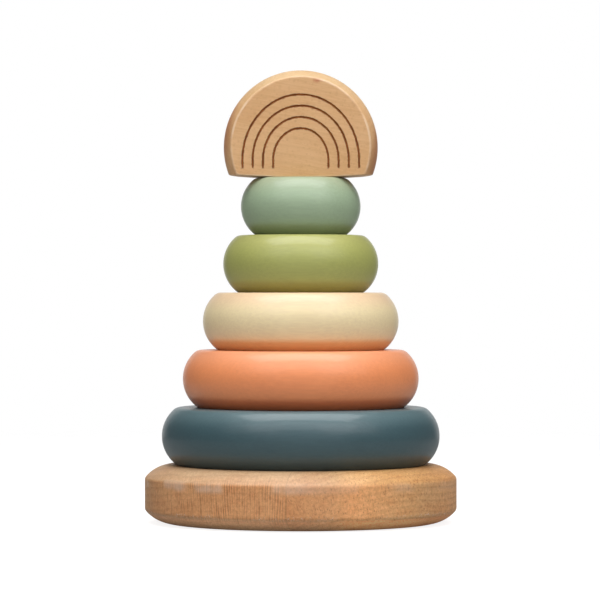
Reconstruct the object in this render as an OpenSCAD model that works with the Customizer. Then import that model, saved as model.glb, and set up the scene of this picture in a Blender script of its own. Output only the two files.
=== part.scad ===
// Wooden stacking ring toy: a beech base disc with a glued-in post, five painted cushion rings
// in falling sizes, and a beech rainbow topper that caps the post.
// Millimetres. +Z is up, the origin is at the centre of the underside, and the rainbow faces -Y.

/* [Base] */
// Diameter of the base disc
base_d = 125; // [120:1:150]
// Thickness of the base disc
base_h = 23; // [20:0.5:30]
// Height of the rounded bevel on each rim of the base
bevel_h = 5.2; // [4:0.1:6]
// Distance that each rim bevel reaches in from the side of the base
bevel_in = 9.2; // [8:0.1:10]
// Radius of the arc that rounds each rim bevel
bevel_arc_r = 13.5; // [12:0.5:20]

/* [Post] */
// Diameter of the post
post_d = 12; // [10:0.5:13]
// Depth of the socket that the post is glued into
post_socket_depth = 15; // [10:0.5:16]
// Height of the post above the top ring
post_above_rings = 18; // [14:0.5:20]
// Radius of the rounded tip of the post
post_tip_r = 3; // [1:0.5:4]

/* [Rings] */
// Thickness of every ring
ring_h = 23; // [20:0.5:25]
// Radius of the arc that rounds the side of every ring
ring_side_r = 14.2; // [14:0.1:18]
// Radius that rounds the top edge of every ring
ring_top_edge_r = 4; // [1:0.5:5]
// Radius that eases the bottom edge of every ring
ring_foot_edge_r = 1; // [0.4:0.1:1.5]
// Diameter of the hole through every ring
ring_bore_d = 15; // [14:0.5:17]
// Diameter of the slate blue ring, the largest
slate_d = 111.4; // [104:0.1:118]
// Diameter of the terracotta ring
terracotta_d = 94.6; // [88:0.1:102]
// Diameter of the cream ring
cream_d = 78.5; // [72:0.1:86]
// Diameter of the olive ring
olive_d = 62.2; // [58:0.1:70]
// Diameter of the sage ring, the smallest
sage_d = 48; // [46:0.1:56]

/* [Rainbow topper] */
// Diameter of the disc that the topper is cut from
topper_d = 61.8; // [61.5:0.1:66]
// Thickness of the topper from its front face to its back face
topper_t = 23; // [21:0.5:23]
// Height of the topper above the top ring
topper_h = 43.1; // [40:0.1:43.2]
// Radius of the arc that rounds the rim of the topper
topper_side_r = 23; // [23:0.5:30]
// Diameter of the blind hole that drops over the post
topper_bore_d = 14; // [13.5:0.5:15]
// Width of each engraved line
line_w = 0.8; // [0.5:0.1:1.2]
// Depth of each engraved line
line_depth = 0.5; // [0.3:0.1:0.8]

/* [Hidden] */

$fn = 160;

// The post is glued into its socket with a thin glue gap, and each hole mouth has a small chamfer.
glue_gap = 0.05;
mouth_chamfer = 0.8;
// Space between the tip of the post and the end of the topper's hole
tip_gap = 2;
// How far an eased edge would stand proud of the faces beside it, so that it crosses them cleanly
edge_proud = 0.01;

// Level of each ring's underside, counted up from the base
function level(n) = base_h + n * ring_h;
ring_count = 5;
stack_top = level(ring_count);

// The topper's disc is centred this far above its seat.
topper_centre = topper_h - topper_d / 2;
// The topper's underside is a very shallow arc with a narrow flat seat across its middle.
underside_r = 340;
seat_relief = 0.1;

// The rainbow: upper half-ellipses on one centre, each carried down by short straight legs.
arch_count = 4;
arch_centre_z = 6.7;
leg_bottom_z = 3.5;
arch_outer_w = 23.2;
arch_outer_h = 26.1;
arch_step_w = 4.07;
arch_step_h = 4.48;

slate_blue = [0.27, 0.37, 0.41];
terracotta = [0.86, 0.55, 0.39];
cream = [0.9, 0.82, 0.68];
olive = [0.68, 0.71, 0.42];
sage = [0.63, 0.71, 0.59];
beech = [0.82, 0.65, 0.47];

// Sector of a disc of radius r between two angles less than 180 degrees apart.
module sector(r, from, to) {
    reach = 3 * r;
    middle = (from + to) / 2;
    intersection() {
        circle(r);
        polygon([
            [0, 0],
            reach * [cos(from), sin(from)],
            reach * [cos(middle), sin(middle)],
            reach * [cos(to), sin(to)]
        ]);
    }
}

// Bounds that ease the top edge of a cushion's half section: they leave out only what lies beyond
// the edge. The side is an arc of radius side_r about [side_x, 0], the flat face is half_h above its
// middle, and an arc of radius edge_r joins the two.
module eased_bounds(side_x, half_h, side_r, edge_r) {
    edge_z = half_h - edge_r;
    edge_reach = sqrt(pow(side_r - edge_r, 2) - pow(edge_z, 2));
    edge_angle = atan2(edge_z, edge_reach);
    edge_x = side_x + edge_reach;
    far = 3 * side_r;
    translate([edge_x, edge_z]) circle(edge_r + edge_proud);
    polygon([
        [-1, -far],
        [edge_x + far, -far],
        [edge_x + far * cos(edge_angle), edge_z + far * sin(edge_angle)],
        [edge_x, edge_z],
        [edge_x, far],
        [-1, far]
    ]);
}

// Half section of a cushion disc of radius r about its middle, with eased edges.
module cushion_section(r, h, side_r, top_edge_r, foot_edge_r) {
    intersection() {
        crisp_cushion_section(r, h, side_r);
        eased_bounds(r - side_r, h / 2, side_r, top_edge_r);
        mirror([0, 1]) eased_bounds(r - side_r, h / 2, side_r, foot_edge_r);
    }
}

// Half section of a cushion disc with crisp edges.
module crisp_cushion_section(r, h, side_r) {
    intersection() {
        union() {
            translate([0, -h / 2]) square([r - side_r / 2, h]);
            translate([r - side_r, 0]) circle(side_r);
        }
        translate([0, -h / 2]) square([r + 1, h]);
    }
}

// Half section of a chamfer cut into the mouth of a hole of diameter d, at height 0 and opening up.
module mouth_cut(d) {
    polygon([
        [0, -mouth_chamfer],
        [d / 2, -mouth_chamfer],
        [d / 2 + mouth_chamfer, 0],
        [0, 0]
    ]);
}

// A ring lying on level z: a cushion disc with a hole through it, chamfered at both mouths.
module ring(d, z) {
    translate([0, 0, z + ring_h / 2])
        rotate_extrude()
            difference() {
                cushion_section(d / 2, ring_h, ring_side_r, ring_top_edge_r, ring_foot_edge_r);
                translate([0, -ring_h / 2]) square([ring_bore_d / 2, ring_h]);
                translate([0, ring_h / 2]) mouth_cut(ring_bore_d);
                mirror([0, 1]) translate([0, ring_h / 2]) mouth_cut(ring_bore_d);
            }
}

// Corner of the base's half section above the side wall: an arc that rises over the bevel.
module bevel_corner() {
    chord = norm([bevel_in, bevel_h]);
    turn = asin(chord / 2 / bevel_arc_r);
    tangent = atan2(bevel_h, bevel_in) + turn;
    centre = [-bevel_arc_r * sin(tangent), -bevel_arc_r * cos(tangent)];
    intersection() {
        translate(centre) circle(bevel_arc_r);
        translate([-bevel_in, 0]) square([bevel_in, bevel_h]);
    }
}

module base() {
    wall_h = base_h - 2 * bevel_h;
    socket_d = post_d + 2 * glue_gap;
    color(beech)
        rotate_extrude()
            difference() {
                union() {
                    square([base_d / 2 - bevel_in, base_h]);
                    translate([0, bevel_h]) square([base_d / 2, wall_h]);
                    translate([base_d / 2, base_h - bevel_h]) bevel_corner();
                    translate([base_d / 2, bevel_h]) mirror([0, 1]) bevel_corner();
                }
                translate([0, base_h - post_socket_depth]) square([socket_d / 2, post_socket_depth]);
            }
}

module post() {
    foot = base_h - post_socket_depth;
    tip = stack_top + post_above_rings;
    shoulder = post_d / 2 - post_tip_r;
    color(beech)
        rotate_extrude()
            union() {
                translate([0, foot]) square([post_d / 2, tip - post_tip_r - foot]);
                translate([0, foot]) square([shoulder, tip - foot]);
                translate([shoulder, tip - post_tip_r]) sector(post_tip_r, 0, 90);
            }
}

module ring_slate_blue() {
    color(slate_blue) ring(slate_d, level(0));
}

module ring_terracotta() {
    color(terracotta) ring(terracotta_d, level(1));
}

module ring_cream() {
    color(cream) ring(cream_d, level(2));
}

module ring_olive() {
    color(olive) ring(olive_d, level(3));
}

module ring_sage() {
    color(sage) ring(sage_d, level(4));
}

// A half-ellipse of half-width a and height b, standing on a rectangle leg_h high.
module filled_arch(a, b, leg_h) {
    intersection() {
        scale([a, b]) circle(1);
        translate([-a - 1, 0]) square([2 * a + 2, b + 1]);
    }
    translate([-a, -leg_h]) square([2 * a, leg_h]);
}

// One engraved line along the edge of such an arch.
module arch_line(a, b) {
    leg_h = arch_centre_z - leg_bottom_z;
    difference() {
        filled_arch(a + line_w / 2, b + line_w / 2, leg_h);
        filled_arch(a - line_w / 2, b - line_w / 2, leg_h + 1);
    }
}

// The rainbow's lines as thin cutters in the topper's front face.
module rainbow_cut() {
    translate([0, -topper_t / 2 + line_depth, arch_centre_z])
        rotate([90, 0, 0])
            linear_extrude(line_depth + 1)
                for (i = [0 : arch_count - 1])
                    arch_line(arch_outer_w - i * arch_step_w, arch_outer_h - i * arch_step_h);
}

// The blind hole that drops over the post, chamfered at its mouth and run on below the seat.
module topper_hole() {
    mouth_r = topper_bore_d / 2 + mouth_chamfer;
    rotate_extrude()
        union() {
            square([topper_bore_d / 2, post_above_rings + tip_gap]);
            translate([0, -1]) square([mouth_r, 1]);
            mirror([0, 1]) mouth_cut(topper_bore_d);
        }
}

// The topper's outline seen from the front, above its shallow underside.
module above_seat() {
    intersection() {
        translate([0, underside_r - seat_relief]) circle(underside_r);
        translate([-topper_d, 0]) square([2 * topper_d, topper_h + 1]);
    }
}

module rainbow_topper() {
    color(beech)
        translate([0, 0, stack_top])
            difference() {
                intersection() {
                    translate([0, 0, topper_centre])
                        rotate([90, 0, 0])
                            rotate_extrude()
                                crisp_cushion_section(topper_d / 2, topper_t, topper_side_r);
                    rotate([90, 0, 0]) linear_extrude(topper_t + 2, center = true) above_seat();
                }
                rainbow_cut();
                topper_hole();
            }
}

base();
post();
ring_slate_blue();
ring_terracotta();
ring_cream();
ring_olive();
ring_sage();
rainbow_topper();
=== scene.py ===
import math
import random

import bmesh
import bpy
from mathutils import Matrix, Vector
from mathutils.geometry import delaunay_2d_cdt


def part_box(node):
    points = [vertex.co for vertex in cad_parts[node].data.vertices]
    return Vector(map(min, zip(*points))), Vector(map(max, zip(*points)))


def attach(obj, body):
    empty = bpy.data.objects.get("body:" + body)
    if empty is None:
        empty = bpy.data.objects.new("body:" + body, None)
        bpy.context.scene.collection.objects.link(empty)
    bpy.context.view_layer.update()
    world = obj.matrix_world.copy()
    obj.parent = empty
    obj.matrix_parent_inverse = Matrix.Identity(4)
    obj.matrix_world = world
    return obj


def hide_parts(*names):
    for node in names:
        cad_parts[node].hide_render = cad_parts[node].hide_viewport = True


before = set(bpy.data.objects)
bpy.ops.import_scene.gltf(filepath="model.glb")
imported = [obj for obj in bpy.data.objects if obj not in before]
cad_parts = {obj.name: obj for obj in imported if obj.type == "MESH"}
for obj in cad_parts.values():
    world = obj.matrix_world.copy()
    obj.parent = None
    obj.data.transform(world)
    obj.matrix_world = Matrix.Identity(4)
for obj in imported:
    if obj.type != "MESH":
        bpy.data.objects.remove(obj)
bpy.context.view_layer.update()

MM = 0.001

# Meshes: columns round a turned piece, and the width of a support loop beside an eased edge
SPIN_STEPS = 224
SUPPORT = 0.3 * MM
# Edges sharper than this are shaded as corners, and vertices closer than this are one.
SHARP_ANGLE = math.radians(42)
WELD = 0.004 * MM
# Points inside a flat face: their spacing, and how far they stay from its lines
FILL_STEP = 2.2 * MM
FILL_MARGIN = 0.9 * MM

# Rings, as the CAD model has them
RING_SIDE_R = 14.2 * MM
RING_TOP_EDGE_R = 4.0 * MM
RING_FOOT_EDGE_R = 1.0 * MM
RING_BORE_R = 7.5 * MM
MOUTH_CHAMFER = 0.8 * MM

# Base and post
BEVEL_H = 5.2 * MM
BEVEL_IN = 9.2 * MM
BEVEL_ARC_R = 13.5 * MM
BASE_EDGE_EASE = 0.7 * MM
SOCKET_R = 6.05 * MM
SOCKET_DEPTH = 15 * MM
POST_TIP_R = 3 * MM

# Rainbow topper
TOPPER_SIDE_R = 23 * MM
TOPPER_EDGE_EASE = 0.42 * MM
UNDERSIDE_R = 340 * MM
SEAT_RELIEF = 0.1 * MM
TOPPER_BORE_R = 7 * MM
TOPPER_BORE_DEPTH = 20 * MM
ARCH_COUNT = 4
ARCH_CENTRE = 6.7 * MM
LEG_BOTTOM = 3.5 * MM
ARCH_OUTER_W = 23.2 * MM
ARCH_OUTER_H = 26.1 * MM
ARCH_STEP_W = 4.07 * MM
ARCH_STEP_H = 4.48 * MM
LINE_W = 0.8 * MM
LINE_DEPTH = 0.45 * MM
# How unevenly each line is cut, as a share of its width and depth, and how far it scorches the face
LINE_WIDTH_WAVER = 0.07
LINE_DEPTH_WAVER = 0.1
SCORCH = 0.28 * MM

# Rings: name, material slot, shade of the paint, and the tints of painted light and shade over its
# top edge and of painted shade and reflection at its foot
RINGS = [
    ("slate_blue", "slate_paint", (63, 90, 97), (1.9, 1.6, 1.52), (0.88, 0.83, 0.82)),
    ("terracotta", "terracotta_paint", (253, 154, 99), (0.97, 1.1, 1.34), (0.8, 0.58, 0.5)),
    ("cream", "cream_paint", (252, 229, 182), (0.9, 0.79, 0.83), (0.83, 0.64, 0.48)),
    ("olive", "olive_paint", (174, 177, 99), (1.0, 0.97, 1.03), (0.84, 0.76, 0.64)),
    ("sage", "sage_paint", (161, 182, 150), (0.98, 0.92, 0.93), (0.8, 0.76, 0.7)),
]

# The base's blank, in millimetres: where its two boards meet, and the pith of the right one and of
# the left one, sideways and upwards from the origin
BOARD_JOINT = -10.7
RIGHT_PITH = (-60.0, -120.0)
LEFT_PITH = (4.0, -420.0)
# The left board is cut from a stretch this much further along, so its figure doesn't carry on.
BOARD_SHIFT = 61.0

# The knot in the topper, in millimetres
KNOT_PLACE = (6.6, -11.5, 176.4)

# Camera: in front of the toy, level with its middle
CAMERA_LENS = 195.6
CAMERA_PLACE = (-0.0003, -1.3086, 0.0922)
CAMERA_AIM = (-0.0003, 0, 0.089)

# Floor: half its side, how far below the toy it lies, and how bright it is in the camera's view and
# to everything else
FLOOR_REACH = 8.0
FLOOR_DROP = 0.2 * MM
FLOOR_GLOW = 0.86
FLOOR_BOUNCE = 0.08

# Surroundings: their brightness in front and at the sides, and behind the toy
AMBIENT = 0.1
BACKDROP = 0.8

# Softboxes: name, place, what they face, width and height in metres, and power in watts
TOY_MIDDLE = (0, 0, 0.09)
SOFTBOXES = [
    ("overhead", (0, -0.12, 0.98), (0, -0.02, 0.09), 1.1, 0.5, 8.3),
    ("front", (0, -0.66, 0.74), TOY_MIDDLE, 1.6, 0.45, 3.6),
    ("fill", (0, -1.6, 0.45), TOY_MIDDLE, 2.4, 1.2, 3.0),
    ("right", (0.55, -0.55, 0.62), TOY_MIDDLE, 0.8, 0.6, 1.7),
    ("left", (-0.55, -0.55, 0.62), TOY_MIDDLE, 0.8, 0.6, 0.7),
]


# ---------------------------------------------------------------- outlines and meshes

def spread(start, end, count):
    """count values from start to end, both included."""
    return [start + (end - start) * i / (count - 1) for i in range(count)]


def arc(centre, radius, start, end, count):
    """Points on an arc, with angles in radians."""
    return [
        (centre[0] + radius * math.cos(a), centre[1] + radius * math.sin(a))
        for a in spread(start, end, count)
    ]


def bezier(start, control, end, count):
    """count points strictly between start and end on a curve that control pulls on."""
    points = []
    for i in range(1, count + 1):
        t = i / (count + 1)
        points.append(tuple(
            (1 - t) ** 2 * s + 2 * t * (1 - t) * c + t * t * e
            for s, c, e in zip(start, control, end)
        ))
    return points


def along(points, index, direction, reach):
    """The point at distance reach along the points from one of them, and the index beyond it."""
    left = reach
    i = index
    while True:
        here, there = Vector(points[i]), Vector(points[i + direction])
        step = (there - here).length
        if step >= left:
            return tuple(here.lerp(there, left / step)), i + direction
        left -= step
        i += direction


def ease(points, index, reach, count=4):
    """The same outline with the corner at index rounded over a distance reach to each side."""
    before, _ = along(points, index, -1, reach)
    after, _ = along(points, index, 1, reach)
    support_before, keep_to = along(points, index, -1, reach + SUPPORT)
    support_after, keep_from = along(points, index, 1, reach + SUPPORT)
    curve = bezier(before, points[index], after, count)
    return (
        points[:keep_to + 1] + [support_before, before] + curve + [after, support_after]
        + points[keep_from:]
    )


def finish_piece(name, bm, body, slot, materials, *nodes):
    """Makes a piece of a mesh that stands for CAD nodes and rides on their body."""
    bmesh.ops.recalc_face_normals(bm, faces=bm.faces)
    mesh = bpy.data.meshes.new(name)
    bm.to_mesh(mesh)
    bm.free()
    mesh.shade_smooth()
    mesh.set_sharp_from_angle(angle=SHARP_ANGLE)
    piece = bpy.data.objects.new(name, mesh)
    bpy.context.scene.collection.objects.link(piece)
    for material in materials:
        mesh.materials.append(material)
    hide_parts(*nodes)
    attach(piece, body)
    return piece


def bridge(bm, low, high, closed, material=0):
    """Quads between two rows of vertices. A row of one vertex is a pole."""
    count = max(len(low), len(high))
    for i in range(count if closed else count - 1):
        j = (i + 1) % count
        if len(low) == 1:
            corners = [low[0], high[i], high[j]]
        elif len(high) == 1:
            corners = [low[i], high[0], low[j]]
        else:
            corners = [low[i], high[i], high[j], low[j]]
        bm.faces.new(corners).material_index = material


def skin(bm, rows, closed, material=0):
    """Quads between each row of vertices and the next."""
    for low, high in zip(rows, rows[1:]):
        bridge(bm, low, high, closed, material)


def turned_rows(bm, outline):
    """A row of vertices round the Z axis for each (radius, height) point of an outline."""
    rows = []
    for radius, height in outline:
        if radius < 1e-7:
            rows.append([bm.verts.new((0, 0, height))])
            continue
        rows.append([
            bm.verts.new((
                radius * math.cos(math.tau * i / SPIN_STEPS),
                radius * math.sin(math.tau * i / SPIN_STEPS),
                height,
            ))
            for i in range(SPIN_STEPS)
        ])
    return rows


def turn(outline, closed):
    """A turned solid: an outline of (radius, height) points, spun about the Z axis."""
    bm = bmesh.new()
    rows = turned_rows(bm, outline)
    skin(bm, rows, True)
    if closed:
        bridge(bm, rows[-1], rows[0], True)
    return bm


# ---------------------------------------------------------------- turned pieces

def ring_half(radius, half, edge_r):
    """Half section of a ring above its middle, from its widest point over the side, the eased edge,
    the flat face and the mouth chamfer to the hole. Heights are above the middle."""
    edge_z = half - edge_r
    reach = math.sqrt((RING_SIDE_R - edge_r) ** 2 - edge_z ** 2)
    tilt = math.atan2(edge_z, reach)
    edge_x = radius - RING_SIDE_R + reach
    mouth = RING_BORE_R + MOUTH_CHAMFER
    side = arc((radius - RING_SIDE_R, 0), RING_SIDE_R, 0, tilt, 17)
    eased = arc((edge_x, edge_z), edge_r, tilt, math.pi / 2, 9)
    face = [
        (edge_x - SUPPORT, half),
        ((edge_x + mouth) / 2, half),
        (mouth + SUPPORT, half),
        (mouth + SUPPORT / 3, half),
        (mouth - SUPPORT / 3, half - SUPPORT / 4),
        (RING_BORE_R + SUPPORT / 3, half - MOUTH_CHAMFER + SUPPORT / 3),
        (RING_BORE_R, half - MOUTH_CHAMFER - SUPPORT / 3),
        (RING_BORE_R, half - MOUTH_CHAMFER - SUPPORT),
    ]
    return side + eased[1:] + face


def ring_outline(radius, low, high):
    """Closed half section of a ring: the top edge is rounder than the one it stands on."""
    middle = (low + high) / 2
    half = (high - low) / 2
    upper = [(x, middle + z) for x, z in ring_half(radius, half, RING_TOP_EDGE_R)]
    lower = [(x, middle - z) for x, z in ring_half(radius, half, RING_FOOT_EDGE_R)]
    return lower[:0:-1] + upper


def make_ring(node, material, slot, body):
    low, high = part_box(node)
    bm = turn(ring_outline(high.x, low.z, high.z), True)
    return finish_piece(node + "_turned", bm, body, slot, [material], node)


def base_outline(radius, height):
    """Half section of the base from the centre of its underside round to the foot of its socket."""
    tangent = math.atan2(BEVEL_H, BEVEL_IN)
    lean = math.asin(math.hypot(BEVEL_IN, BEVEL_H) / 2 / BEVEL_ARC_R)
    start = math.pi / 2 - tangent - lean
    centre = (
        radius - BEVEL_ARC_R * math.sin(tangent + lean),
        height - BEVEL_H - BEVEL_ARC_R * math.cos(tangent + lean),
    )
    bevel = arc(centre, BEVEL_ARC_R, start, start + 2 * lean, 17)
    lower = [(x, height - z) for x, z in reversed(bevel)]
    wall = [(radius, z) for z in spread(BEVEL_H, height - BEVEL_H, 7)][1:-1]
    flat = bevel[-1][0]
    points = [(0, 0), (flat * 0.35, 0), (flat * 0.7, 0)] + lower + wall + bevel
    lower_edge = 3 + len(lower) - 1
    upper_edge = lower_edge + len(wall) + 1
    points += [(flat * 0.75, height), (flat * 0.45, height), (SOCKET_R + SUPPORT, height)]
    points += [(SOCKET_R, height - SUPPORT / 2)]
    points += [(SOCKET_R, height - SOCKET_DEPTH), (0, height - SOCKET_DEPTH)]
    points = ease(points, upper_edge + len(bevel) - 1, BASE_EDGE_EASE)
    points = ease(points, upper_edge, BASE_EDGE_EASE)
    points = ease(points, lower_edge, BASE_EDGE_EASE)
    return ease(points, 3, BASE_EDGE_EASE)


def make_base(material):
    _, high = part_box("base")
    bm = turn(base_outline(high.x, high.z), False)
    return finish_piece("base_turned", bm, "base_and_post", "beech_base", [material], "base")


def make_post(material):
    low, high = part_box("post")
    radius = high.x
    shoulder = (radius - POST_TIP_R, high.z - POST_TIP_R)
    outline = [(0, low.z), (radius * 0.6, low.z), (radius - SUPPORT, low.z)]
    outline += [(radius, low.z + SUPPORT)]
    outline += [(radius, z) for z in spread(low.z + 2 * SUPPORT, shoulder[1] - SUPPORT, 24)]
    outline += arc(shoulder, POST_TIP_R, 0, math.pi / 2, 10)
    outline += [(shoulder[0] * 0.85, high.z), (shoulder[0] * 0.4, high.z), (0, high.z)]
    bm = turn(outline, False)
    return finish_piece("post_turned", bm, "base_and_post", "beech_post", [material], "post")


# ---------------------------------------------------------------- rainbow topper

class Topper:
    """Sizes of the topper, measured from its CAD node. Heights are above its seat."""

    def __init__(self):
        low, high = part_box("rainbow_topper")
        self.seat = low.z
        self.radius = high.x
        self.half_t = high.y
        self.centre = high.z - low.z - high.x
        self.top = high.z - low.z

    def rim_radius(self, y):
        """Radius of the rim at depth y, on the arc that rounds it."""
        return self.radius - TOPPER_SIDE_R + math.sqrt(TOPPER_SIDE_R ** 2 - y * y)

    def underside(self, x):
        """Height of the shallow underside, which is flat across its middle."""
        return max(0, UNDERSIDE_R - SEAT_RELIEF - math.sqrt(UNDERSIDE_R ** 2 - x * x))

    def outline(self, radius, lift):
        """The outline at one depth as two lists of (x, z): from the right end of the underside over
        the arch to its left end, and along the underside from left to right between them."""
        corner = 0
        for _ in range(12):
            height = self.underside(radius * math.cos(corner)) + lift
            corner = math.asin((height - self.centre) / radius)
        reach = TOPPER_EDGE_EASE
        corner_x = radius * math.cos(corner)
        end_x = corner_x - reach
        start = corner + reach / radius
        over = arc((0, self.centre), radius, start, math.pi - start, 121)
        right_end = (end_x, self.underside(end_x) + lift)
        right_corner = (corner_x, self.centre + radius * math.sin(corner))
        turn_in = bezier(right_end, right_corner, over[0], 3)
        turn_out = [(-x, z) for x, z in reversed(turn_in)]
        left_end = (-right_end[0], right_end[1])
        rim = [right_end] + turn_in + over + turn_out + [left_end]
        under = [(x, self.underside(x) + lift) for x in spread(-end_x, end_x, 42)]
        return rim, under[1:-1]

    def depths(self):
        """(radius, y, lift) from the flat of the front face, over its eased edge, to mid-depth."""
        edge = TOPPER_EDGE_EASE
        face_r = self.rim_radius(self.half_t)
        face_y = -self.half_t
        on_face = (face_r - edge, face_y, edge)
        rim_y = face_y + edge
        on_rim = (self.rim_radius(rim_y), rim_y, 0)
        control = (face_r, face_y, 0)
        rows = [(face_r - edge - SUPPORT, face_y, edge + SUPPORT), on_face]
        rows += bezier(on_face, control, on_rim, 3) + [on_rim]
        rows += [(self.rim_radius(rim_y + SUPPORT), rim_y + SUPPORT, 0)]
        return rows


def fill(bm, loops, marks, place):
    """Fills the plane region that an even-odd count of the loops encloses with triangles. Marks are
    lines that the triangles also follow, and place gives a 3-D point."""
    points = []
    edges = []
    for line, closed in [(loop, True) for loop in loops] + [(mark, False) for mark in marks]:
        first = len(points)
        points += [Vector(p) for p in line]
        edges += [(first + i, first + i + 1) for i in range(len(line) - 1)]
        if closed:
            edges.append((len(points) - 1, first))
    points += [Vector(p) for p in clear_grid(loops, marks)]
    scale = 1 / MM
    flat = [p * scale for p in points]
    verts, _, faces, *_ = delaunay_2d_cdt(flat, edges, [], 0, 1e-7)
    made = [bm.verts.new(place(v.x / scale, v.y / scale)) for v in verts]
    for face in faces:
        middle = sum((verts[i] for i in face), Vector((0, 0))) / len(face) / scale
        if enclosed(middle, loops):
            bm.faces.new([made[i] for i in face])


def enclosed(point, loops):
    """Whether an even-odd count of the loops encloses a point."""
    return sum(inside(point, loop) for loop in loops) % 2 == 1


def inside(point, loop):
    """Whether a closed loop of (x, y) points encloses a point."""
    found = False
    px, py = point
    for (x1, y1), (x2, y2) in zip(loop, loop[1:] + loop[:1]):
        if (y1 > py) != (y2 > py) and px < x1 + (py - y1) * (x2 - x1) / (y2 - y1):
            found = not found
    return found


def clear_grid(loops, marks):
    """Points on a staggered grid, inside the loops and a margin clear of every line."""
    buckets = {}
    for x, y in (p for line in loops + marks for p in line):
        buckets.setdefault((round(x / FILL_STEP), round(y / FILL_STEP)), []).append((x, y))
    xs = [p[0] for p in loops[0]]
    ys = [p[1] for p in loops[0]]
    grid = []
    row = 0
    y = min(ys)
    while y < max(ys):
        x = min(xs) + (row % 2) * FILL_STEP / 2
        while x < max(xs):
            cell_x, cell_y = round(x / FILL_STEP), round(y / FILL_STEP)
            near = [
                p for i in (-1, 0, 1) for j in (-1, 0, 1)
                for p in buckets.get((cell_x + i, cell_y + j), [])
            ]
            free = all(math.hypot(x - p[0], y - p[1]) > FILL_MARGIN for p in near)
            if free and enclosed((x, y), loops):
                grid.append((x, y))
            x += FILL_STEP
        y += FILL_STEP * 0.87
        row += 1
    return grid


def arch_path(index, offset, margin):
    """A line beside the centre line of one engraved arch, from its left foot over to its right
    one. Offset moves it outwards, and margin takes it past the feet."""
    a = ARCH_OUTER_W - index * ARCH_STEP_W + offset
    b = ARCH_OUTER_H - index * ARCH_STEP_H + offset
    foot = LEG_BOTTOM - margin
    leg = [(a, z) for z in spread(foot, ARCH_CENTRE, 8)]
    over = [(a * math.cos(t), ARCH_CENTRE + b * math.sin(t)) for t in spread(0, math.pi / 2, 48)]
    right = leg[:-1] + over
    return [(-x, z) for x, z in right] + right[-2::-1]


def groove(bm, index, face_y, seat, char):
    """One engraved line: a U-shaped groove along an arch. Returns its outline on the face."""
    rng = random.Random(40 + index)
    section = [(-1, 0), (-0.72, 0.62), (-0.3, 0.95), (0.3, 0.95), (0.72, 0.62), (1, 0)]
    centre = arch_path(index, 0, 0)
    count = len(centre)
    width = [1 + LINE_WIDTH_WAVER * rng.uniform(-1, 1) for _ in range(count)]
    depth = [LINE_DEPTH * (1 + LINE_DEPTH_WAVER * rng.uniform(-1, 1)) for _ in range(count)]
    # Each foot ends in a half round: the line narrows over its last stretch.
    for i, share in ((0, 0.35), (1, 0.86), (count - 1, 0.35), (count - 2, 0.86)):
        width[i] = share
        depth[i] = LINE_DEPTH * share
    rows = []
    for side, sunk in section:
        rail = arch_path(index, side * LINE_W / 2, 0)
        row = []
        for (x, z), (cx, cz), share, deep in zip(rail, centre, width, depth):
            place = (cx + (x - cx) * share, face_y + sunk * deep, seat + cz + (z - cz) * share)
            vert = bm.verts.new(place)
            vert[char] = 1 if sunk else 0.8
            row.append(vert)
        rows.append(row)
    skin(bm, rows, False, material=1)
    for end in (0, -1):
        bm.faces.new([row[end] for row in rows]).material_index = 1
    return [(v.co.x, v.co.z - seat) for v in rows[0] + rows[-1][::-1]]


def topper_rows(bm, top, stations, edge_sheen_and_wear):
    """Rows of vertices round the whole outline at some depths, skinned, for one eased edge."""
    rows = []
    for radius, y, lift in stations:
        rim, under = top.outline(radius, lift)
        rows.append([bm.verts.new((x, y, top.seat + z)) for x, z in rim + under])
    # The rows over the eased edge carry the mask of its painted highlight and wear.
    for row in rows[1:-1]:
        for vert in row:
            vert[edge_sheen_and_wear] = 1
    skin(bm, rows, True)


def topper_front(bm, top, face_loop, char):
    """The front face round the engraved lines, with a narrow scorched band along each one."""
    grooves = [groove(bm, i, -top.half_t, top.seat, char) for i in range(ARCH_COUNT)]
    bands = [
        arch_path(i, side * (LINE_W / 2 + SCORCH), SCORCH)
        for i in range(ARCH_COUNT) for side in (-1, 1)
    ]
    fill(bm, [face_loop] + grooves, bands, lambda x, z: (x, -top.half_t, top.seat + z))


def topper_underside(bm, top, ends, stations):
    """The underside between the eased edges, with the hole that drops over the post."""
    front, back = (
        [(x, y) for x, _ in top.outline(radius, lift)[1]]
        for radius, y, lift in (stations[0], stations[-1])
    )
    loop = front + ends + back[::-1] + [(-x, y) for x, y in reversed(ends)]
    mouth_r = TOPPER_BORE_R + MOUTH_CHAMFER + SUPPORT / 3
    mouth = arc((0, 0), mouth_r, 0, math.tau * (1 - 1 / SPIN_STEPS), SPIN_STEPS)
    fill(bm, [loop, mouth], [], lambda x, y: (x, y, top.seat + top.underside(x)))
    hole = [
        (mouth_r, 0),
        (TOPPER_BORE_R + MOUTH_CHAMFER - SUPPORT / 3, SUPPORT / 4),
        (TOPPER_BORE_R + SUPPORT / 3, MOUTH_CHAMFER - SUPPORT / 3),
        (TOPPER_BORE_R, MOUTH_CHAMFER + SUPPORT / 3),
        (TOPPER_BORE_R, MOUTH_CHAMFER + SUPPORT),
        (TOPPER_BORE_R, TOPPER_BORE_DEPTH - SUPPORT),
        (TOPPER_BORE_R - SUPPORT / 2, TOPPER_BORE_DEPTH - SUPPORT / 6),
        (TOPPER_BORE_R - 3 * SUPPORT, TOPPER_BORE_DEPTH),
        (0, TOPPER_BORE_DEPTH),
    ]
    skin(bm, turned_rows(bm, [(radius, top.seat + z) for radius, z in hole]), True)


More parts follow.
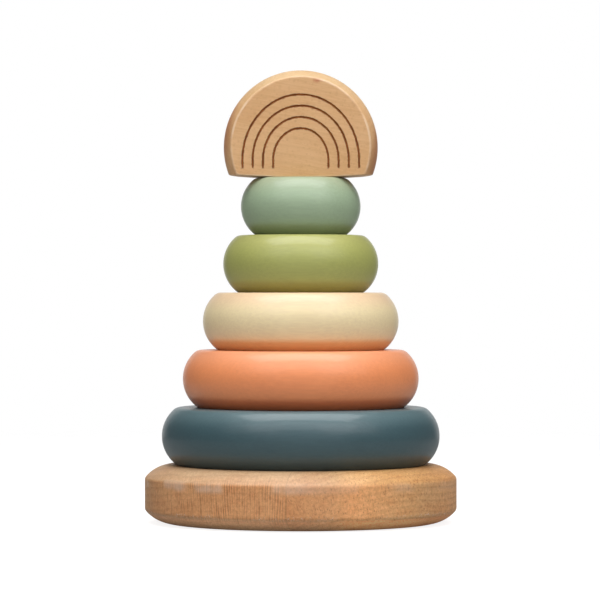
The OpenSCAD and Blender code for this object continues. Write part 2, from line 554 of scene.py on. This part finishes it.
def make_topper(wood, burnt):
    top = Topper()
    bm = bmesh.new()
    char = bm.verts.layers.float.new("char")
    # Mask of the painted highlight and wear on the topper's eased edges
    edge_sheen_and_wear = bm.verts.layers.float.new("edge_sheen_and_wear")
    depths = top.depths()
    mirrored = [(radius, -y, lift) for radius, y, lift in reversed(depths)]
    middle = [(top.rim_radius(y), y, 0) for y in spread(depths[-1][1], mirrored[0][1], 19)]
    topper_rows(bm, top, depths, edge_sheen_and_wear)
    topper_rows(bm, top, mirrored, edge_sheen_and_wear)
    rims = [
        [bm.verts.new((x, y, top.seat + z)) for x, z in top.outline(radius, lift)[0]]
        for radius, y, lift in middle
    ]
    skin(bm, rims, False)
    face_loop = sum(top.outline(depths[0][0], depths[0][2]), [])
    topper_front(bm, top, face_loop, char)
    fill(bm, [face_loop], [], lambda x, z: (x, top.half_t, top.seat + z))
    topper_underside(bm, top, [(rim[0].co.x, rim[0].co.y) for rim in rims], middle)
    bmesh.ops.remove_doubles(bm, verts=bm.verts, dist=WELD)
    return finish_piece("topper_carved", bm, "topper", "beech_topper", [wood, burnt],
                        "rainbow_topper")


# ---------------------------------------------------------------- materials

class Graph:
    """The shader nodes of one material, with places in millimetres from the origin."""

    def __init__(self, name):
        self.material = bpy.data.materials.new(name)
        self.material.use_nodes = True
        self.tree = self.material.node_tree
        self.shader = self.tree.nodes["Principled BSDF"]
        coordinates = self.node("ShaderNodeTexCoord").outputs
        self.normal = coordinates["Normal"]
        self.place = self.vector("SCALE", coordinates["Object"], scale=1 / MM)
        self.x, self.y, self.z = self.node(
            "ShaderNodeSeparateXYZ", {"Vector": self.place}).outputs

    def node(self, kind, inputs=None, **settings):
        node = self.tree.nodes.new(kind)
        for key, value in settings.items():
            setattr(node, key, value)
        for socket, value in (inputs or {}).items():
            self.feed(node.inputs[socket], value)
        return node

    def feed(self, socket, value):
        if isinstance(value, bpy.types.NodeSocket):
            self.tree.links.new(value, socket)
        else:
            socket.default_value = value

    def math(self, operation, *values):
        node = self.node("ShaderNodeMath", operation=operation)
        for socket, value in zip(node.inputs, values):
            self.feed(socket, value)
        return node.outputs[0]

    def vector(self, operation, *values, scale=None):
        node = self.node("ShaderNodeVectorMath", operation=operation)
        for socket, value in zip(node.inputs, values):
            self.feed(socket, value)
        if scale is not None:
            node.inputs["Scale"].default_value = scale
        return node.outputs["Value" if operation in ("DOT_PRODUCT", "LENGTH") else "Vector"]

    def times(self, first, *others):
        """The product of several values."""
        for other in others:
            first = self.math("MULTIPLY", first, other)
        return first

    def away_from(self, value, centre):
        """How far a value is from a centre, on either side."""
        return self.math("ABSOLUTE", self.math("SUBTRACT", value, centre))

    def off_axis(self):
        """Distance from the Z axis in millimetres."""
        return self.math("SQRT", self.math("ADD", self.times(self.x, self.x),
                                           self.times(self.y, self.y)))

    def join(self, x, y, z):
        return self.node("ShaderNodeCombineXYZ", {"X": x, "Y": y, "Z": z}).outputs[0]

    def stretched(self, x, y, z):
        """The place with each of its axes scaled."""
        return self.join(self.times(self.x, x), self.times(self.y, y), self.times(self.z, z))

    def noise(self, vector, scale, detail=2.0, roughness=0.5):
        return self.node("ShaderNodeTexNoise", {
            "Vector": vector, "Scale": scale, "Detail": detail, "Roughness": roughness}).outputs[0]

    def cells(self, vector, scale=1.0):
        """Distance to the nearest of a scatter of points, and a random colour for that point."""
        return self.node("ShaderNodeTexVoronoi", {"Vector": vector, "Scale": scale}).outputs[:2]

    def span(self, value, from_low, from_high, to_low=0.0, to_high=1.0):
        """Carries a value smoothly from one range to another, and holds it at the ends."""
        node = self.node("ShaderNodeMapRange", interpolation_type="SMOOTHSTEP")
        for key, v in zip(("Value", "From Min", "From Max", "To Min", "To Max"),
                          (value, from_low, from_high, to_low, to_high)):
            self.feed(node.inputs[key], v)
        return node.outputs[0]

    def mix(self, factor, a, b, blend="MIX"):
        node = self.node("ShaderNodeMix", data_type="RGBA", blend_type=blend)
        self.feed(node.inputs[0], factor)
        self.feed(node.inputs[6], a)
        self.feed(node.inputs[7], b)
        return node.outputs[2]

    def tinted(self, amount, colour, by):
        """A colour multiplied by another, as far as amount says."""
        return self.mix(amount, colour, by, "MULTIPLY")

    def attribute(self, name):
        """A value that the mesh holds at each of its vertices."""
        return self.node("ShaderNodeAttribute", attribute_name=name).outputs["Fac"]

    def bump(self, height, distance):
        return self.node("ShaderNodeBump", {
            "Height": height, "Distance": distance, "Strength": 1.0}).outputs[0]

    def set(self, **sockets):
        for name, value in sockets.items():
            self.feed(self.shader.inputs[name.replace("_", " ")], value)


def colour(red, green, blue):
    """A linear colour from 0-255 display values."""
    def linear(v):
        v /= 255
        return v / 12.92 if v <= 0.04045 else ((v + 0.055) / 1.055) ** 2.4
    return (linear(red), linear(green), linear(blue), 1)


def beech_figure(g, grain, pith, ring_spacing, boards=None, end_from=(0.4, 1.0)):
    """The figure of a beech blank, as values from 0 to 1 in the material g: its growth rings, rays,
    fibres, slow changes of tone, and how squarely a face cuts the fibres. Grain is the unit
    direction of the fibres. Pith is where the middle of the tree lies, sideways and upwards from
    the origin, in millimetres. Boards gives the sideways place of a glued joint and the pith of the
    board beyond it."""
    across = Vector((0, 0, 1)).cross(Vector(grain)) if abs(grain[2]) < 0.9 else Vector((1, 0, 0))
    across.normalize()
    upward = Vector(grain).cross(across)
    w = g.vector("DOT_PRODUCT", g.place, tuple(grain))
    u = g.vector("DOT_PRODUCT", g.place, tuple(across))
    v = g.vector("DOT_PRODUCT", g.place, tuple(upward))
    pith_u, pith_v = pith
    reach = math.hypot(*pith)
    beyond = 0.0
    if boards:
        joint, other = boards
        beyond = g.math("GREATER_THAN", u, joint)
        pith_u = g.math("MULTIPLY_ADD", beyond, other[0] - pith[0], pith[0])
        pith_v = g.math("MULTIPLY_ADD", beyond, other[1] - pith[1], pith[1])
        reach = g.math("MULTIPLY_ADD", beyond, math.hypot(*other) - reach, reach)
        w = g.math("MULTIPLY_ADD", beyond, BOARD_SHIFT, w)

    def along_board(by_u, by_v, by_w):
        """The place across, above and along the fibres, with each of these scaled."""
        return g.join(g.times(u, by_u), g.times(v, by_v), g.times(w, by_w))

    def round_pith(by_turn, by_radius, by_w):
        """The place round, away from and along the pith, with each of these scaled."""
        return g.join(g.times(turn_by, by_turn), g.times(radius, by_radius), g.times(w, by_w))

    def spindles(wide, tall, deep, low, high):
        """Spindle-shaped rays of a given width, length and depth in millimetres."""
        distance, tint = g.cells(round_pith(1 / wide, 1 / deep, 1 / tall))
        lone = g.node("ShaderNodeSeparateColor", {"Color": tint}).outputs[0]
        return g.times(g.span(distance, high, low), g.math("POWER", lone, 0.7))

    # Polar place round the pith: distance from it, and arc length at the distance of the origin
    du = g.math("SUBTRACT", u, pith_u)
    dv = g.math("SUBTRACT", v, pith_v)
    wander = g.noise(along_board(0.035, 0.035, 0.012), 1.0, 2.0)
    radius = g.math("SQRT", g.math("ADD", g.times(du, du), g.times(dv, dv)))
    radius = g.math("MULTIPLY_ADD", wander, 5.0, radius)
    turn_by = g.times(g.math("ARCTAN2", dv, du), reach)
    turn_by = g.math("MULTIPLY_ADD", wander, 1.6, turn_by)

    # Growth rings: the late wood darkens towards the end of each year and stops at once.
    uneven = g.noise(g.join(g.times(radius, 0.11), 0.0, 0.0), 1.0, 1.0)
    year = g.math("FRACT", g.math("MULTIPLY_ADD", uneven, 1.7,
                                  g.math("DIVIDE", radius, ring_spacing)))
    late = g.math("POWER", year, 3.0)
    fade = g.span(year, 0.0, 0.2, 1.0, 0.0)

    fibre = g.noise(along_board(1.9, 1.9, 0.16), 1.0, 4.0, 0.62)
    slow = g.noise(along_board(0.05, 0.05, 0.022), 1.0, 2.0)
    patch = g.noise(along_board(0.13, 0.2, 0.03), 1.0, 3.0, 0.6)

    # Fine lines that run out from the pith: a comb that sways, broken up by strands
    sway = g.noise(round_pith(0.35, 0.03, 0.03), 1.0, 2.0, 0.6)
    comb = g.math("SINE", g.math("MULTIPLY_ADD", turn_by, 6.4, g.times(sway, 14.0)))
    strand = g.noise(round_pith(0.9, 0.06, 0.05), 1.0, 3.0, 0.7)
    cut = g.math("ABSOLUTE", g.vector("DOT_PRODUCT", g.normal, tuple(grain)))
    return {
        "growth": g.math("MAXIMUM", late, fade),
        "broad": spindles(0.95, 2.6, 9.0, 0.16, 0.34),
        "fine": spindles(0.5, 1.3, 5.0, 0.18, 0.4),
        "speck": spindles(0.75, 2.4, 1.5, 0.16, 0.34),
        "line": g.times(g.span(comb, -0.5, 0.9), g.span(strand, 0.38, 0.62)),
        "fibre": fibre,
        "slow": slow,
        "patch": patch,
        "end": g.span(cut, *end_from),
        "beyond": beyond,
        "across": u,
    }


def beech_colour(g, figure, pale, mid, dark, ray, end, growth=0.42, fine=0.3, broad=0.5):
    """Puts the figure together as a colour. End tints the end grain, and growth, fine and broad
    are strengths."""
    tone = g.math("MULTIPLY_ADD", figure["fibre"], 0.8, g.times(figure["slow"], 0.8))
    wood = g.mix(g.span(tone, 0.5, 1.1), pale, mid)
    wood = g.mix(g.times(figure["growth"], growth), wood, dark)
    wood = g.mix(g.times(figure["fine"], fine), wood, ray)
    wood = g.mix(g.times(figure["broad"], broad), wood, ray)
    return g.tinted(figure["end"], wood, end)


def beech_height(g, figure):
    """Height of the sanded surface: open pores between fibres, and hard rays."""
    pores = g.span(figure["fibre"], 0.3, 0.5)
    return g.math("MULTIPLY_ADD", figure["broad"], 0.35, pores)


def board_figure(g, figure, left, right, tint):
    """Adds what tells the base's two boards apart."""
    tint = g.mix(g.times(figure["speck"], right, 0.55), tint, colour(156, 90, 48))
    # Rays of the left board run up its end grain as fine lines, in fading patches.
    fade = g.span(figure["patch"], 0.3, 0.6, 0.5, 1.0)
    lines = g.times(figure["line"], left, fade, figure["end"], 0.62)
    return g.mix(lines, tint, colour(142, 84, 40))


def board_tone_and_light(g, figure, left, right, tint):
    """Mottles the base, makes some patches redder, and sets each board's tint from side to side,
    partly its tone and partly painted light, with a lighter streak across the right board that is
    partly painted highlight.
    """
    mottle = g.span(g.noise(g.place, 0.85, 3.0, 0.68), 0.3, 0.7)
    tint = g.tinted(1.0, tint, g.mix(mottle, (0.88, 0.84, 0.8, 1), (1.08, 1.1, 1.14, 1)))
    redder = g.span(figure["patch"], 0.45, 0.7)
    tint = g.tinted(g.times(redder, 0.5), tint, (0.93, 0.8, 0.7, 1))
    # Each board's outer end: redder at the left, lighter at the right, partly painted light.
    outer = g.span(g.math("ABSOLUTE", g.x), 38.0, 60.0)
    tint = g.tinted(g.times(outer, left), tint, (1.03, 0.95, 0.9, 1))
    tint = g.tinted(g.times(outer, right), tint, (1.25, 1.1, 0.98, 1))
    # A lighter streak across the right board: partly painted highlight.
    streak = g.span(g.away_from(g.x, 31.0), 8.0, 22.0, 1.0, 0.0)
    return g.tinted(g.times(streak, right), tint, (1.3, 1.27, 1.2, 1))


def edge_highlight_and_chips(g, tint):
    """Pales the base along the lines where its bevels meet its side: a painted highlight in patches
    above, stronger towards the left, and small chips of wear below."""
    upper = g.span(g.away_from(g.z, 16.6), 0.4, 3.0, 0.6, 0.0)
    lower = g.span(g.away_from(g.z, 5.3), 0.2, 1.2, 1.0, 0.0)
    sheen_and_wear_patches = g.span(g.noise(g.place, 0.06, 2.0, 0.5), 0.42, 0.56)
    crumbs = g.span(g.noise(g.place, 1.5, 2.0, 0.7), 0.55, 0.66)
    # The haze above is painted highlight, stronger towards the left; the chips below are wear.
    edge_highlight = g.times(upper, sheen_and_wear_patches, g.span(g.x, 12.0, -6.0, 0.35, 1.0))
    chips = g.times(lower, crumbs, sheen_and_wear_patches)
    highlight_and_chips = g.times(g.math("MAXIMUM", edge_highlight, chips), g.span(g.off_axis(), 57.0, 60.5), 0.6)
    return g.mix(highlight_and_chips, tint, colour(240, 222, 202))


def bevel_light_and_tone(g, tint):
    """Lightens the base's bevels: the lower one all round, as painted light bounced from the floor,
    and both towards the left, as painted sheen. The upper one is yellower towards the right."""
    on_upper = g.span(g.z, 17.4, 18.6)
    # The lower bevel lighter all round: painted light bounced from the floor.
    tint = g.tinted(g.span(g.z, 5.0, 3.4), tint, (1.5, 1.4, 1.35, 1))
    # Both bevels paler towards the left: painted sheen.
    bevel_sheen = g.math("MAXIMUM", on_upper, g.span(g.z, 5.4, 4.2))
    tint = g.mix(g.times(bevel_sheen, g.span(g.x, 22.0, -4.0, 0.0, 0.13)), tint, colour(240, 222, 202))
    return g.tinted(g.times(on_upper, g.span(g.x, 12.0, 34.0)), tint, (0.93, 0.88, 0.76, 1))


def base_beech():
    """Two boards glued side by side: their end grain shows at the front and back."""
    g = Graph("beech_base")
    grain = Vector((0.26, 0.97, 0)).normalized()
    figure = beech_figure(g, grain, RIGHT_PITH, 2.3, boards=(BOARD_JOINT, LEFT_PITH))
    left = figure["beyond"]
    right = g.math("SUBTRACT", 1.0, left)
    tint = beech_colour(g, figure, colour(215, 177, 130), colour(198, 154, 105),
                        colour(161, 110, 69), colour(145, 89, 51), (1.27, 1.02, 0.9, 1),
                        growth=g.math("MULTIPLY_ADD", figure["end"], -0.15, 0.3),
                        fine=g.math("MULTIPLY_ADD", right, 0.15, 0.2), broad=0.14)
    tint = board_figure(g, figure, left, right, tint)
    tint = board_tone_and_light(g, figure, left, right, tint)
    from_joint = g.away_from(figure["across"], BOARD_JOINT)
    tint = g.mix(g.span(from_joint, 0.05, 0.25, 0.3, 0.0), tint, colour(130, 84, 48))
    tint = bevel_light_and_tone(g, edge_highlight_and_chips(g, tint))
    g.set(Base_Color=tint, Roughness=g.span(figure["fibre"], 0.2, 0.8, 0.48, 0.6),
          Normal=g.bump(beech_height(g, figure), 0.03 * MM))
    return g.material


def post_beech():
    """A dowel: its fibres run up it."""
    g = Graph("beech_post")
    figure = beech_figure(g, Vector((0, 0, 1)), (38.0, 22.0), 2.2)
    tint = beech_colour(g, figure, colour(232, 193, 148), colour(212, 168, 120),
                        colour(180, 130, 84), colour(166, 112, 68), (0.86, 0.71, 0.64, 1),
                        growth=0.3)
    g.set(Base_Color=tint, Roughness=g.span(figure["fibre"], 0.2, 0.8, 0.48, 0.6),
          Normal=g.bump(beech_height(g, figure), 0.03 * MM))
    return g.material


def topper_beech():
    """Fine straight beech with one small knot near the top, scorched beside the engraved lines,
    paler in patches along the eased edges of its faces as painted highlight with some wear, paler
    and cooler on upward faces as painted sheen, and darker at the rim's end grain with painted
    shade."""
    g = Graph("beech_topper")
    grain = Vector((0.985, 0.0, -0.17)).normalized()
    figure = beech_figure(g, grain, (30.0, 70.0), 2.7, end_from=(0.84, 0.985))
    # The end tint is the end grain's own darker, redder colour, deepened with painted shade.
    tint = beech_colour(g, figure, colour(234, 187, 136), colour(221, 170, 116),
                        colour(196, 142, 92), colour(178, 118, 70), (0.72, 0.53, 0.45, 1),
                        growth=0.14, fine=0.18, broad=0.12)
    redder = g.span(figure["patch"], 0.5, 0.75)
    tint = g.tinted(g.times(redder, 0.35), tint, (0.95, 0.85, 0.76, 1))
    # Upward faces paler and cooler: painted sheen.
    up = g.span(g.vector("DOT_PRODUCT", g.normal, (0.0, 0.0, 1.0)), 0.3, 0.9)
    tint = g.tinted(up, tint, (0.88, 1.01, 1.13, 1))
    away = g.vector("SUBTRACT", g.place, KNOT_PLACE)
    away = g.vector("MULTIPLY", away, (0.5, 0.4, 1.1))
    knot = g.math("MULTIPLY_ADD", g.noise(g.place, 0.9), 1.2, g.vector("LENGTH", away))
    tint = g.mix(g.span(knot, 0.5, 2.2, 0.8, 0.0), tint, colour(196, 112, 76))
    tint = g.mix(g.times(g.attribute("char"), 0.95), tint, colour(122, 66, 26))
    # Paler in patches along the eased edges: painted highlight with some wear.
    sheen_and_wear_patches = g.span(g.noise(g.place, 0.12, 3.0), 0.35, 0.65, 0.08, 0.5)
    tint = g.mix(g.times(g.attribute("edge_sheen_and_wear"), sheen_and_wear_patches), tint, colour(250, 226, 196))
    g.set(Base_Color=tint, Roughness=g.span(figure["fibre"], 0.2, 0.8, 0.44, 0.56),
          Normal=g.bump(beech_height(g, figure), 0.025 * MM))
    return g.material


def burnt_beech():
    """The floor of the engraved lines, scorched unevenly."""
    g = Graph("beech_burnt")
    grit = g.noise(g.place, 1.7, 4.0, 0.65)
    slow = g.noise(g.place, 0.35, 2.0)
    amount = g.math("ADD", g.times(grit, 0.7), g.times(slow, 0.6))
    tint = g.mix(g.span(amount, 0.4, 0.95), colour(118, 62, 22), colour(176, 106, 50))
    g.set(Base_Color=tint, Roughness=g.span(grit, 0.2, 0.8, 0.75, 0.95),
          Normal=g.bump(grit, 0.08 * MM))
    return g.material


def toned(shade, factor):
    """A lighter or darker shade of a colour."""
    return tuple(min(1, c * factor) for c in shade[:3]) + (1,)


def ring_paint(name, shade, middle, shoulder, foot):
    """Satin paint on a turned ring: a faint change of tone, fine turning lines under the film, a
    slight orange peel, and bare beech where the paint stops inside the hole. Middle is the height
    of the ring's middle in millimetres. Shoulder tints the film over the top edge with painted
    light and shade, and foot tints it towards the bottom edge with painted shade and a painted
    reflection of the ring below."""
    g = Graph(name)
    off_axis = g.off_axis()
    cloud = g.noise(g.place, 0.06, 3.0, 0.55)
    grain = g.noise(g.stretched(0.11, 1.3, 1.3), 1.0, 4.0, 0.6)
    tone = g.math("MULTIPLY_ADD", grain, 0.8, g.times(cloud, 0.4))
    tint = g.mix(g.span(tone, 0.35, 0.85), toned(shade, 0.93), toned(shade, 1.06))
    above = g.math("SUBTRACT", g.z, middle)
    # Towards the foot: painted shade and a painted reflection of the ring below.
    tint = g.tinted(g.span(above, -6.2, -8.6), tint, foot + (1,))
    # Over the top edge: painted light and shade.
    tint = g.tinted(g.span(above, 3.5, 10.5), tint, shoulder + (1,))
    from_speck, _ = g.cells(g.place, 0.55)
    tint = g.mix(g.span(from_speck, 0.1, 0.035, 0.0, 0.18), tint, toned(shade, 0.6))
    figure = g.noise(g.stretched(0.2, 2.0, 1.0), 1.0, 3.0)
    bare = g.mix(figure, colour(206, 160, 112), colour(226, 184, 138))
    ragged = g.math("MULTIPLY_ADD", g.noise(g.place, 0.8, 3.0), 1.2, off_axis)
    tint = g.mix(g.span(ragged, 7.9, 8.5, 0.85, 0.0), tint, bare)
    lathe = g.noise(g.join(g.times(off_axis, 2.4), 0.0, g.times(g.z, 2.4)), 1.0, 3.0, 0.6)
    peel = g.noise(g.place, 0.9, 2.0)
    height = g.math("MULTIPLY_ADD", lathe, 0.6, g.math("MULTIPLY_ADD", grain, 0.35, peel))
    g.set(Base_Color=tint, Roughness=g.span(cloud, 0.3, 0.7, 0.44, 0.52),
          Normal=g.bump(height, 0.026 * MM), Coat_Weight=0.35, Coat_Roughness=0.14)
    return g.material


def floor_material():
    """A pale matt sheet that fades into the white surroundings well away from the toy."""
    g = Graph("floor_pale")
    seen = g.node("ShaderNodeLightPath").outputs["Is Camera Ray"]
    lift = g.math("MULTIPLY_ADD", seen, 1 - FLOOR_BOUNCE, FLOOR_BOUNCE)
    cloud = g.noise(g.place, 0.004, 2.0)
    g.set(Base_Color=g.mix(cloud, (0.3, 0.3, 0.3, 1), (0.34, 0.34, 0.34, 1)),
          Roughness=0.9, Specular_IOR_Level=0.1, Emission_Color=(1, 1, 1, 1),
          Emission_Strength=g.times(lift, FLOOR_GLOW))
    away = g.vector("LENGTH", g.place)
    clear = g.node("ShaderNodeBsdfTransparent").outputs[0]
    blend = g.node("ShaderNodeMixShader", {0: g.span(away, 300.0, 900.0)})
    g.feed(blend.inputs[1], g.shader.outputs[0])
    g.feed(blend.inputs[2], clear)
    g.feed(g.tree.nodes["Material Output"].inputs["Surface"], blend.outputs[0])
    return g.material


# ---------------------------------------------------------------- studio

def make_floor():
    bm = bmesh.new()
    steps = spread(-FLOOR_REACH, FLOOR_REACH, 8)
    skin(bm, [[bm.verts.new((x, y, -FLOOR_DROP)) for x in steps] for y in steps], False)
    bmesh.ops.recalc_face_normals(bm, faces=bm.faces)
    mesh = bpy.data.meshes.new("floor")
    bm.to_mesh(mesh)
    bm.free()
    mesh.materials.append(floor_material())
    floor = bpy.data.objects.new("floor", mesh)
    bpy.context.scene.collection.objects.link(floor)


def put(name, data, place, aim):
    """Puts a camera or a lamp in its place, facing its aim."""
    holder = bpy.data.objects.new(name, data)
    holder.location = place
    holder.rotation_euler = (Vector(aim) - Vector(place)).to_track_quat("-Z", "Y").to_euler()
    bpy.context.scene.collection.objects.link(holder)
    return holder


def make_camera():
    camera = bpy.data.cameras.new("camera")
    camera.sensor_width = 36
    camera.lens = CAMERA_LENS
    bpy.context.scene.camera = put("camera", camera, CAMERA_PLACE, CAMERA_AIM)


def make_softbox(name, place, aim, width, height, power):
    lamp = bpy.data.lights.new(name, "AREA")
    lamp.shape = "RECTANGLE"
    lamp.size = width
    lamp.size_y = height
    lamp.energy = power
    put(name, lamp, place, aim).visible_camera = False


def make_light():
    """Surroundings that look white to the camera and light the toy mostly from behind, and the
    softboxes over it, in front of it and at its sides."""
    world = bpy.data.worlds.new("studio")
    world.use_nodes = True
    tree = world.node_tree
    nodes, links = tree.nodes, tree.links
    background = nodes["Background"]
    background.inputs["Color"].default_value = (1, 1, 1, 1)
    direction = nodes.new("ShaderNodeSeparateXYZ")
    links.new(nodes.new("ShaderNodeTexCoord").outputs["Generated"], direction.inputs[0])
    behind = nodes.new("ShaderNodeMapRange")
    behind.interpolation_type = "SMOOTHSTEP"
    for key, value in (("From Min", 0.8), ("From Max", 0.98), ("To Min", AMBIENT),
                       ("To Max", BACKDROP)):
        behind.inputs[key].default_value = value
    links.new(direction.outputs["Y"], behind.inputs["Value"])
    seen = nodes.new("ShaderNodeLightPath").outputs["Is Camera Ray"]
    strength = nodes.new("ShaderNodeMix")
    strength.inputs[3].default_value = 1.0
    links.new(seen, strength.inputs[0])
    links.new(behind.outputs[0], strength.inputs[2])
    links.new(strength.outputs[0], background.inputs["Strength"])
    bpy.context.scene.world = world
    for row in SOFTBOXES:
        make_softbox(*row)
    bpy.context.scene.view_settings.view_transform = "Standard"


def main():
    make_camera()
    make_light()
    make_floor()
    make_base(base_beech())
    make_post(post_beech())
    for name, slot, shade, shoulder, foot in RINGS:
        low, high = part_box("ring_" + name)
        middle = (low.z + high.z) / 2 / MM
        material = ring_paint("paint_" + name, colour(*shade), middle, shoulder, foot)
        make_ring("ring_" + name, material, slot, name + "_ring")
    make_topper(topper_beech(), burnt_beech())


main()
